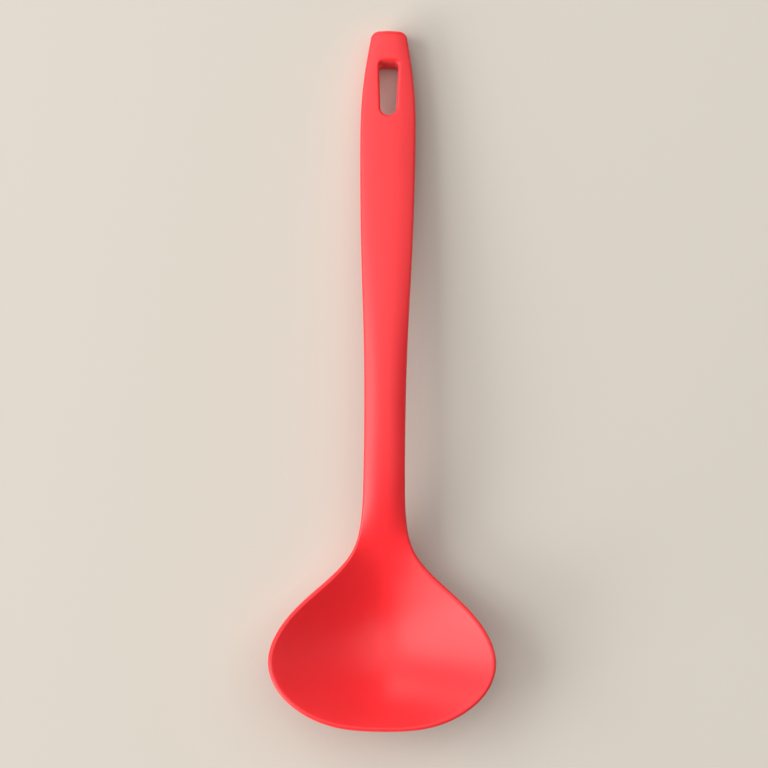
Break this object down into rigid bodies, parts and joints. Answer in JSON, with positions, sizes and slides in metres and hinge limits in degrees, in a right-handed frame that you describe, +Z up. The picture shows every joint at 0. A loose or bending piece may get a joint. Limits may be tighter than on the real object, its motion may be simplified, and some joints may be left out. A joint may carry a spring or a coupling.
{
  "type": "silicone soup ladle",
  "caption": "One-piece red silicone ladle: long arched handle with a hanging slot, wide shallow bowl with a rolled lip, stiff nylon core inside the silicone skin.",
  "frame": {"origin": "on the surface that the ladle lies on, under the middle of its length", "axes": "+Y along the handle towards its hanging end, -Y towards the bowl's front lip, +Z up, X across"},
  "size_m": [0.0936, 0.29, 0.0352],
  "materials": {
    "silicone": "satin red silicone with a fine moulded texture",
    "nylon": "natural glass-filled nylon"
  },
  "bodies": {
    "root": {"silicone_skin": "silicone", "nylon_core": "nylon"}
  },
  "joints": []
}
